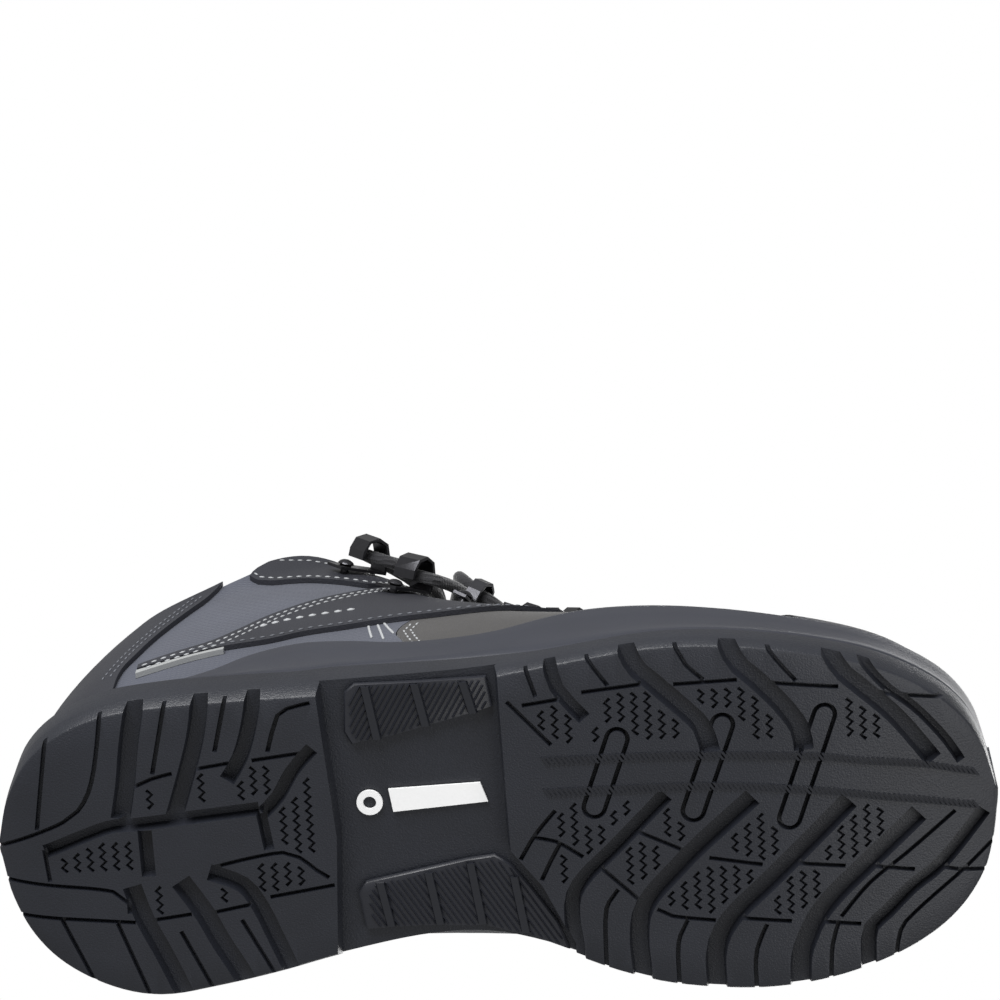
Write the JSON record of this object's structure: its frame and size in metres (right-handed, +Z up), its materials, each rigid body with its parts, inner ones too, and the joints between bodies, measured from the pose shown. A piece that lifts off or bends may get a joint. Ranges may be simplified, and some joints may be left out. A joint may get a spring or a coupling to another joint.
{
  "type": "work boot",
  "caption": "Mid-cut lace-up safety boot with a steel toe cap, lugged rubber outsole with a raised waist, padded collar and metal lace hooks.",
  "frame": {"origin": "on the ground under the middle of the boot, half way along its length and its width", "axes": "+X towards the toe, +Y towards the inner (medial) side of the foot, +Z up; the boot stands on its sole on z = 0"},
  "size_m": [0.305, 0.1146, 0.1766],
  "materials": {
    "tread_rubber": "satin, finely speckled",
    "arch_rubber": "satin, ribbed",
    "badge": "matte white",
    "midsole": "matte moulded foam with a fine skin",
    "inner_steel": "plain rolled sheet",
    "board": "pressed fibre board",
    "foam": "soft foam with a knitted face",
    "nubuck": "nubuck, fine grain, stitched",
    "overlay_leather": "fine-grained synthetic leather, chain stitched",
    "toe_guard": "textured rubber skin",
    "quarter_textile": "tight ripstop weave",
    "lining_mesh": "knitted spacer mesh",
    "tongue_textile": "padded weave",
    "reflective_tape": "retroreflective tape",
    "dark_hardware": "gunmetal enamel",
    "laces": "round braid",
    "lace_tips": "clear-drawn plastic, near black"
  },
  "bodies": {
    "boot": {"aglet_lateral": "lace_tips", "aglet_medial": "lace_tips", "ankle_overlay_lateral": "overlay_leather", "ankle_overlay_medial": "overlay_leather", "arch_pad_lateral": "arch_rubber", "arch_pad_medial": "arch_rubber", "collar_pad": "foam", "facing_lateral": "overlay_leather", "facing_medial": "overlay_leather", "heel_counter": "board", "heel_overlay": "overlay_leather", "hook_rivet_lateral_1": "dark_hardware", "hook_rivet_lateral_2": "dark_hardware", "hook_rivet_medial_1": "dark_hardware", "hook_rivet_medial_2": "dark_hardware", "insole_board": "board", "lace_bow_lateral": "laces", "lace_bow_medial": "laces", "lace_half_lateral": "laces", "lace_half_medial": "laces", "lace_hook_lateral_1": "dark_hardware", "lace_hook_lateral_2": "dark_hardware", "lace_hook_medial_1": "dark_hardware", "lace_hook_medial_2": "dark_hardware", "lace_knot": "laces", "lace_loop_lateral_1": "dark_hardware", "lace_loop_lateral_2": "dark_hardware", "lace_loop_lateral_3": "dark_hardware", "lace_loop_medial_1": "dark_hardware", "lace_loop_medial_2": "dark_hardware", "lace_loop_medial_3": "dark_hardware", "lace_tail_lateral": "laces", "lace_tail_medial": "laces", "lining": "lining_mesh", "loop_rivet_lateral_1": "dark_hardware", "loop_rivet_lateral_2": "dark_hardware", "loop_rivet_lateral_3": "dark_hardware", "loop_rivet_medial_1": "dark_hardware", "loop_rivet_medial_2": "dark_hardware", "loop_rivet_medial_3": "dark_hardware", "midsole": "midsole", "outsole": "tread_rubber", "puncture_plate": "inner_steel", "quarter_lateral": "quarter_textile", "quarter_medial": "quarter_textile", "reflective_trim_lateral": "reflective_tape", "reflective_trim_medial": "reflective_tape", "sole_badge": "badge", "toe_cap": "inner_steel", "toe_overlay": "toe_guard", "vamp": "nubuck"},
    "tongue": {"tongue": "tongue_textile"},
    "footbed": {"footbed": "foam"}
  },
  "joints": [
    {"name": "tongue_fold", "type": "hinge", "parent": "boot", "child": "tongue", "pos_m": [0.028, 0, 0.086], "axis": [0, 1, 0], "range_deg": [-8, 0]},
    {"name": "footbed_lift", "type": "hinge", "parent": "boot", "child": "footbed", "pos_m": [0.1345, 0, 0.036], "axis": [0, 1, 0], "range_deg": [0, 8]}
  ]
}
